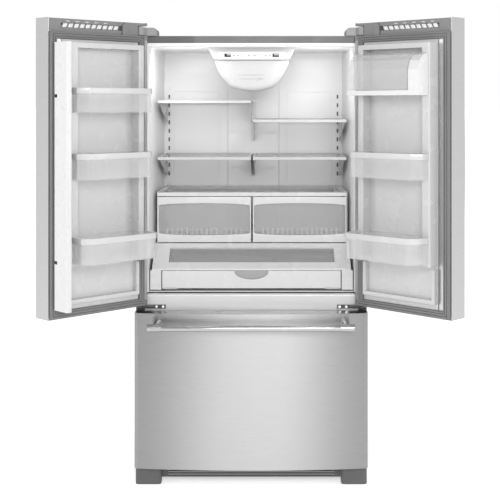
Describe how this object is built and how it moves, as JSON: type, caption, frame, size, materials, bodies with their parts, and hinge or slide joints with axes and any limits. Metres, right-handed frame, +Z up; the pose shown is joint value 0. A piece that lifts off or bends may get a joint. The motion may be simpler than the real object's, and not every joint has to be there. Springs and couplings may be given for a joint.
{
  "type": "french door refrigerator",
  "caption": "Free-standing refrigerator with side-hinged doors over a bottom freezer drawer, with shelves, crispers, a wide deli drawer and door bins.",
  "frame": {"origin": "centre of the whole object's bounding box at rest, on the floor", "axes": "+X to the viewer's right, +Y from the doors to the back, +Z up"},
  "size_m": [1.6074, 1.1455, 1.791],
  "materials": {
    "door_steel": "satin",
    "handle_steel": "satin",
    "cabinet_paint": "satin",
    "zinc_back": "satin",
    "rail_paint": "satin",
    "white_plastic": "satin",
    "clear_plastic": "gloss",
    "shelf_glass": "gloss",
    "white_trim": "satin",
    "ladder_paint": "satin",
    "grey_plastic": "matte",
    "hinge_cover_plastic": "satin",
    "seal_rubber": "matte",
    "hinge_steel": "satin",
    "screw_steel": "satin",
    "base_steel": "satin",
    "black_paint": "satin",
    "cooling_aluminium": "satin",
    "black_plastic": "matte",
    "panel_film": "gloss",
    "button_plastic": "satin",
    "lamp_cover": "satin",
    "lamp_glass": "satin",
    "zinc_steel": "satin",
    "roller_nylon": "matte"
  },
  "bodies": {
    "cabinet": {"cabinet_shell": "cabinet_paint", "rear_panel": "zinc_back", "fresh_food_liner": "white_plastic", "freezer_liner": "white_plastic", "mullion_rail": "rail_paint", "base_frame": "base_steel", "base_grille": "grey_plastic", "compressor": "black_paint", "condenser_and_fan_motor": "black_paint", "evaporator": "cooling_aluminium", "evaporator_cover": "white_plastic", "air_duct": "white_plastic", "control_housing": "white_plastic", "control_panel": "panel_film", "light_diffuser": "lamp_cover", "lamps": "lamp_glass", "shelf_ladders": "ladder_paint", "shelf_frames": "white_trim", "shelf_glass": "shelf_glass", "crisper_cover": "white_trim", "deli_cover": "white_trim", "cover_glass": "shelf_glass", "hinges": "hinge_steel", "hinge_covers": "hinge_cover_plastic", "screws": "screw_steel", "slide_rails": "zinc_steel", "cord_gland": "black_plastic"},
    "left_door": {"left_door_skin": "door_steel", "left_door_liner": "white_plastic", "left_door_gasket": "seal_rubber", "left_door_caps": "grey_plastic", "left_door_handle": "handle_steel", "left_door_bins": "clear_plastic"},
    "flipper": {"flipper_mullion": "white_trim"},
    "right_door": {"right_door_skin": "door_steel", "right_door_liner": "white_plastic", "right_door_gasket": "seal_rubber", "right_door_caps": "grey_plastic", "right_door_handle": "handle_steel", "right_door_bins": "clear_plastic", "dairy_box": "white_trim"},
    "dairy_lid": {"dairy_lid": "clear_plastic"},
    "freezer_drawer": {"drawer_skin": "door_steel", "drawer_liner": "white_plastic", "drawer_gasket": "seal_rubber", "drawer_handle": "handle_steel", "drawer_runners": "zinc_steel", "lower_basket": "white_plastic"},
    "upper_basket": {"upper_basket": "white_plastic"},
    "crisper_left": {"crisper_left": "clear_plastic"},
    "crisper_right": {"crisper_right": "clear_plastic"},
    "deli_drawer": {"deli_drawer": "white_trim"},
    "deli_divider": {"deli_divider": "clear_plastic"},
    "button_left": {"button_left": "button_plastic"},
    "button_right": {"button_right": "button_plastic"},
    "levelling_leg_left": {"levelling_leg_left": "zinc_steel"},
    "levelling_leg_right": {"levelling_leg_right": "zinc_steel"},
    "rear_rollers": {"rear_rollers": "roller_nylon"},
    "condenser_fan": {"condenser_fan": "black_plastic"},
    "evaporator_fan": {"evaporator_fan": "black_plastic"}
  },
  "joints": [
    {"name": "left_door_hinge", "type": "hinge", "parent": "cabinet", "child": "left_door", "pos_m": [-0.433, -0.19025, 1.2], "axis": [0, 0, -1], "range_deg": [-135.8, 0]},
    {"name": "right_door_hinge", "type": "hinge", "parent": "cabinet", "child": "right_door", "pos_m": [0.433, -0.19025, 1.2], "axis": [0, 0, 1], "range_deg": [-135.8, 0]},
    {"name": "flipper_hinge", "type": "hinge", "parent": "left_door", "child": "flipper", "pos_m": [-0.68708, -0.50903, 1.2], "axis": [0, 0, 1], "range_deg": [-90, 0]},
    {"name": "dairy_lid_hinge", "type": "hinge", "parent": "right_door", "child": "dairy_lid", "pos_m": [0.50842, -0.37518, 1.656], "axis": [-0.7169, 0.6972, 0], "range_deg": [0, 70]},
    {"name": "freezer_drawer_slide", "type": "slide", "parent": "cabinet", "child": "freezer_drawer", "axis": [0, -1, 0], "range_m": [0, 0.38]},
    {"name": "upper_basket_slide", "type": "slide", "parent": "cabinet", "child": "upper_basket", "axis": [0, -1, 0], "range_m": [0, 0.228]},
    {"name": "crisper_left_slide", "type": "slide", "parent": "cabinet", "child": "crisper_left", "axis": [0, -1, 0], "range_m": [0, 0.24]},
    {"name": "crisper_right_slide", "type": "slide", "parent": "cabinet", "child": "crisper_right", "axis": [0, -1, 0], "range_m": [0, 0.24]},
    {"name": "deli_drawer_slide", "type": "slide", "parent": "cabinet", "child": "deli_drawer", "axis": [0, -1, 0], "range_m": [0, 0.3]},
    {"name": "deli_divider_slide", "type": "slide", "parent": "deli_drawer", "child": "deli_divider", "axis": [1, 0, 0], "range_m": [-0.4, 0.22]},
    {"name": "button_left_press", "type": "slide", "parent": "cabinet", "child": "button_left", "axis": [0, 1, 0], "range_m": [0, 0.0012], "stiffness_N_per_m": 300},
    {"name": "button_right_press", "type": "slide", "parent": "cabinet", "child": "button_right", "axis": [0, 1, 0], "range_m": [0, 0.0012], "stiffness_N_per_m": 300},
    {"name": "levelling_leg_left_turn", "type": "hinge", "parent": "cabinet", "child": "levelling_leg_left", "pos_m": [-0.4, -0.13725, 0.03], "axis": [0, 0, 1], "continuous": true},
    {"name": "levelling_leg_right_turn", "type": "hinge", "parent": "cabinet", "child": "levelling_leg_right", "pos_m": [0.4, -0.13725, 0.03], "axis": [0, 0, 1], "continuous": true},
    {"name": "rear_rollers_turn", "type": "hinge", "parent": "cabinet", "child": "rear_rollers", "pos_m": [0, 0.49475, 0.024], "axis": [1, 0, 0], "continuous": true},
    {"name": "condenser_fan_turn", "type": "hinge", "parent": "cabinet", "child": "condenser_fan", "pos_m": [0.01, 0.45975, 0.19], "axis": [1, 0, 0], "continuous": true},
    {"name": "evaporator_fan_turn", "type": "hinge", "parent": "cabinet", "child": "evaporator_fan", "pos_m": [0, 0.36675, 0.585], "axis": [0, 1, 0], "continuous": true}
  ],
  "couplings": [
    {"joint": "flipper_hinge", "follows": "left_door_hinge", "ratio": 0.66273},
    {"joint": "upper_basket_slide", "follows": "freezer_drawer_slide", "ratio": 0.6}
  ]
}
